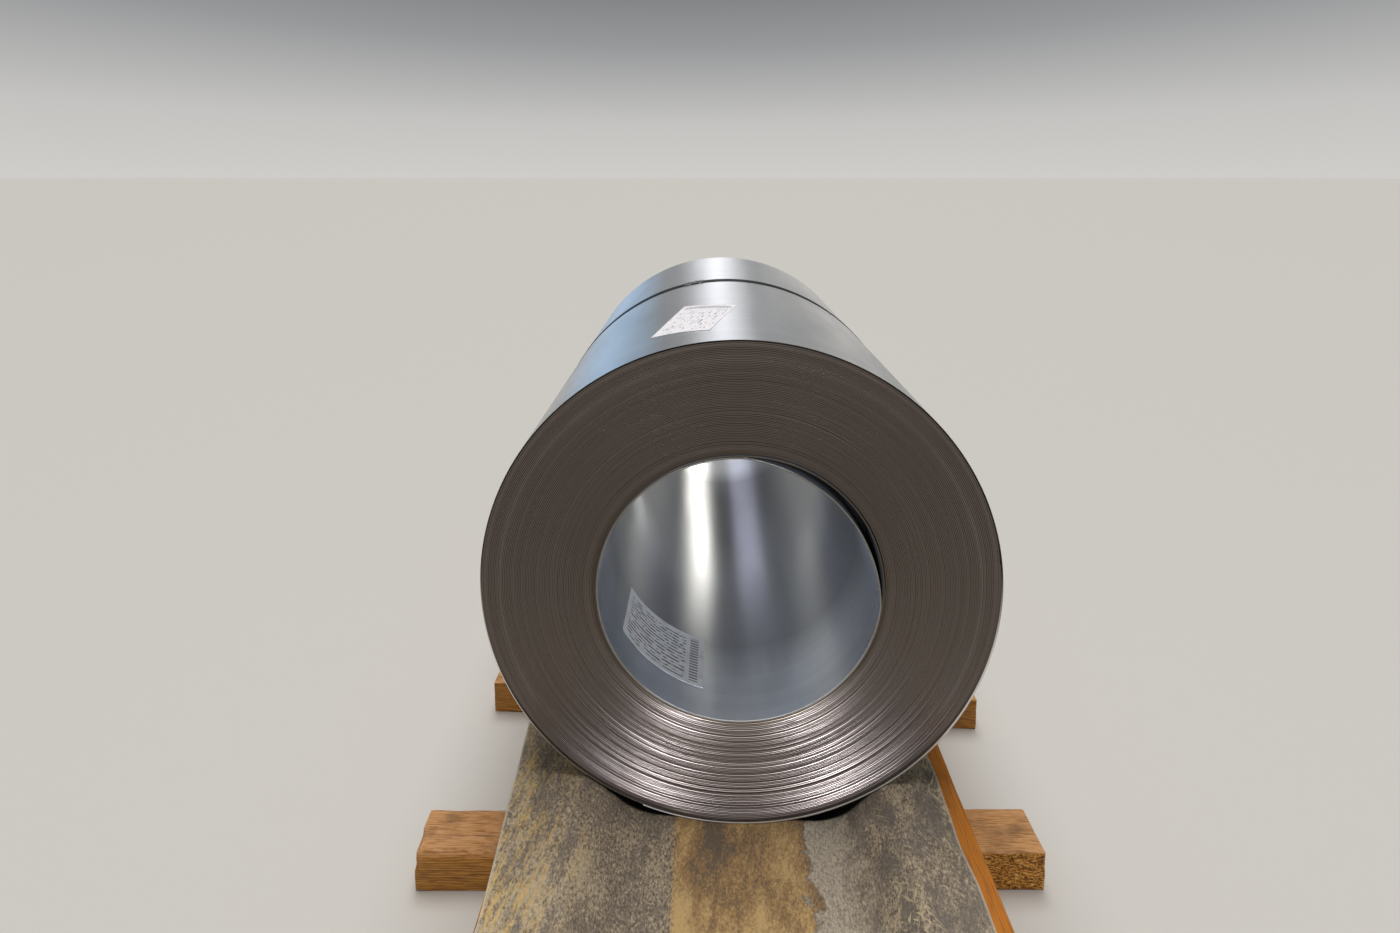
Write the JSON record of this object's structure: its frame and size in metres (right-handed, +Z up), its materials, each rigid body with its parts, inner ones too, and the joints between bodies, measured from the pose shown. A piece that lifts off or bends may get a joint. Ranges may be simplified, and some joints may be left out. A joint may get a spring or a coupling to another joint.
{
  "type": "steel coil",
  "caption": "Coil of wound steel strip with an open bore, strapped once round, lying on a rubber belt mat over timber rails and cross bearers.",
  "frame": {"origin": "on the floor under the middle of the coil, at the centre of the cradle's footprint", "axes": "+Z up, Y along the coil's axis with the pictured end towards -Y, X across the cradle"},
  "size_m": [1.2256, 1.5, 1.0772],
  "materials": {
    "strip_steel": "satin rolled strip, with bare slit edges on the ends",
    "strapping_steel": "blued and waxed strapping, slightly glossy",
    "seal_steel": "plain galvanised sheet, crimped",
    "label_paper": "matt label paper with grey ruling",
    "belt_rubber": "worn belt rubber, with ochre and pale dust",
    "sawn_timber": "sawn softwood, weathered"
  },
  "bodies": {
    "root": {"coil_winding": "strip_steel", "strap": "strapping_steel", "strap_seal": "seal_steel", "outer_label": "label_paper", "bore_label": "label_paper", "belt_mat": "belt_rubber", "rail_left": "sawn_timber", "rail_right": "sawn_timber", "cross_bearer_1": "sawn_timber", "cross_bearer_2": "sawn_timber", "cross_bearer_3": "sawn_timber", "cross_bearer_4": "sawn_timber"}
  },
  "joints": []
}
